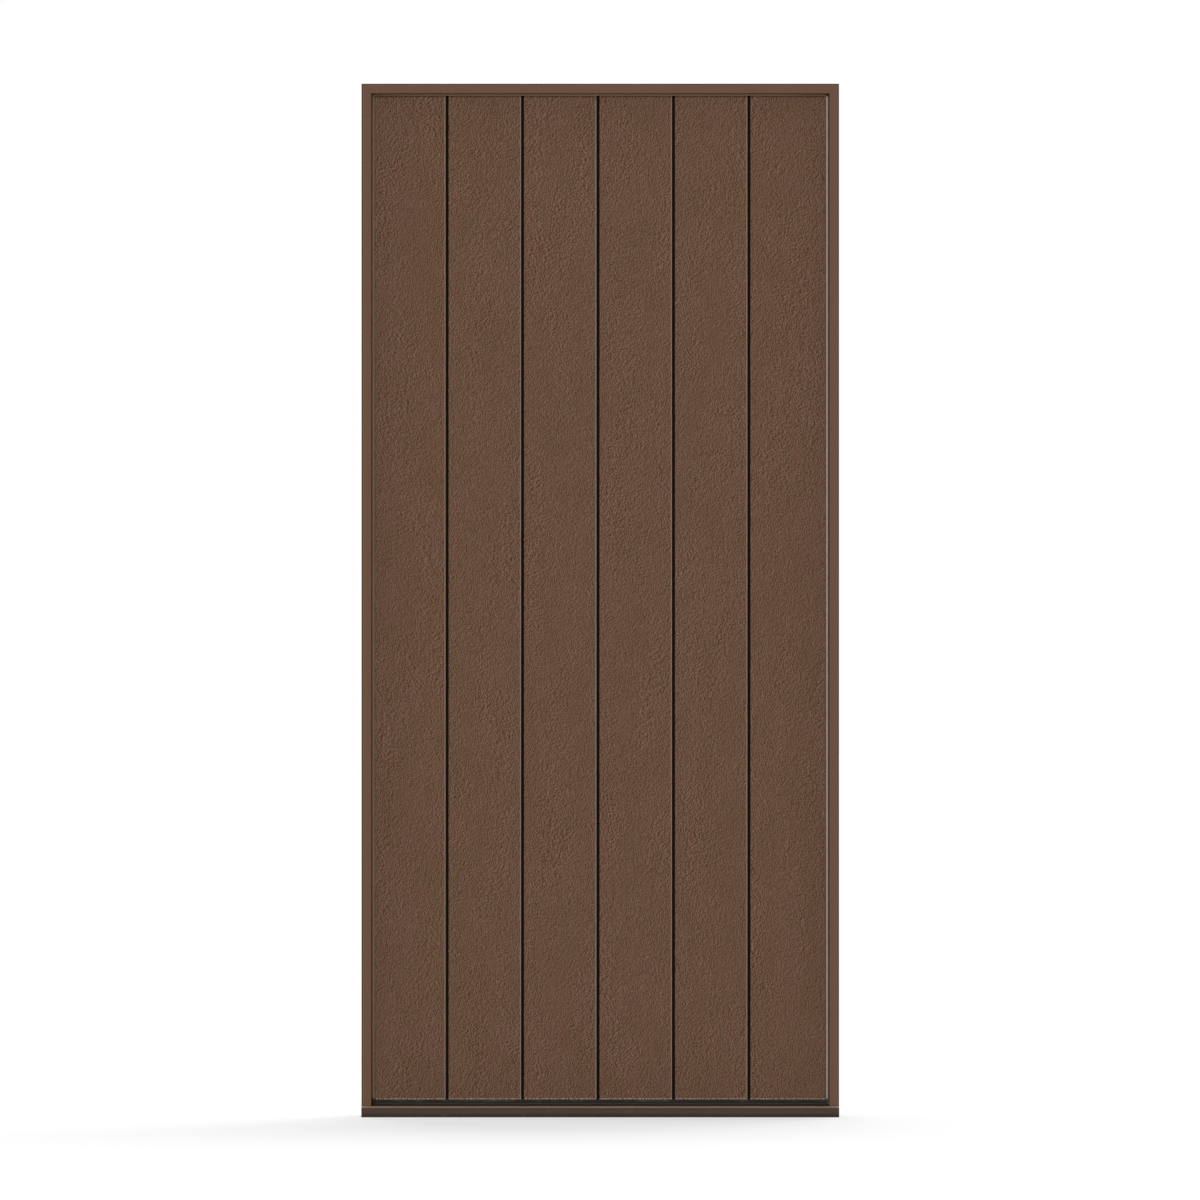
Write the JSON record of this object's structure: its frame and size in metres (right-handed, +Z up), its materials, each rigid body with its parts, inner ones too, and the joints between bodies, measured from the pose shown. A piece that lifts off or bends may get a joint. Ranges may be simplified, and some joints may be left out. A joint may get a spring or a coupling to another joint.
{
  "type": "prehung fiberglass entry door",
  "caption": "Inswing fiberglass entry door with moulded vertical planks, hung in a slim rabbeted frame with weatherstrips and a sill.",
  "frame": {"origin": "middle of the sill's flat underside, on the floor, midway through the depth of the jambs", "axes": "+Z up, +Y inward through the wall, +X to the right as seen from outside; the hinges are at -X"},
  "size_m": [0.947, 0.1565, 2.049],
  "materials": {
    "door_skin": "satin",
    "frame_finish": "satin",
    "stile_wood": "matte",
    "rail_composite": "matte",
    "core_foam": "matte",
    "weatherstrip": "satin",
    "seal_rubber": "matte",
    "deck_metal": "satin",
    "cap_plastic": "matte",
    "hinge_steel": "satin",
    "screw_steel": "satin"
  },
  "bodies": {
    "frame": {"hinge_jamb": "frame_finish", "strike_jamb": "frame_finish", "head_jamb": "frame_finish", "hinge_weatherstrip": "weatherstrip", "strike_weatherstrip": "weatherstrip", "head_weatherstrip": "weatherstrip", "corner_seals": "seal_rubber", "sill_nosing": "frame_finish", "sill_base": "rail_composite", "sill_deck": "deck_metal", "sill_cap": "cap_plastic", "sill_cap_screws": "screw_steel", "upper_frame_leaf": "hinge_steel", "middle_frame_leaf": "hinge_steel", "lower_frame_leaf": "hinge_steel", "upper_hinge_pin": "hinge_steel", "middle_hinge_pin": "hinge_steel", "lower_hinge_pin": "hinge_steel", "frame_hinge_screws": "screw_steel"},
    "leaf": {"outer_skin": "door_skin", "inner_skin": "door_skin", "hinge_stile": "stile_wood", "lock_stile": "stile_wood", "top_rail": "rail_composite", "bottom_rail": "rail_composite", "foam_core": "core_foam", "door_sweep": "seal_rubber", "upper_door_leaf": "hinge_steel", "middle_door_leaf": "hinge_steel", "lower_door_leaf": "hinge_steel", "door_hinge_screws": "screw_steel"}
  },
  "joints": [
    {"name": "door_swing", "type": "hinge", "parent": "frame", "child": "leaf", "pos_m": [-0.45963, 0.065, 1.083], "axis": [0, 0, 1], "range_deg": [0, 170]}
  ]
}
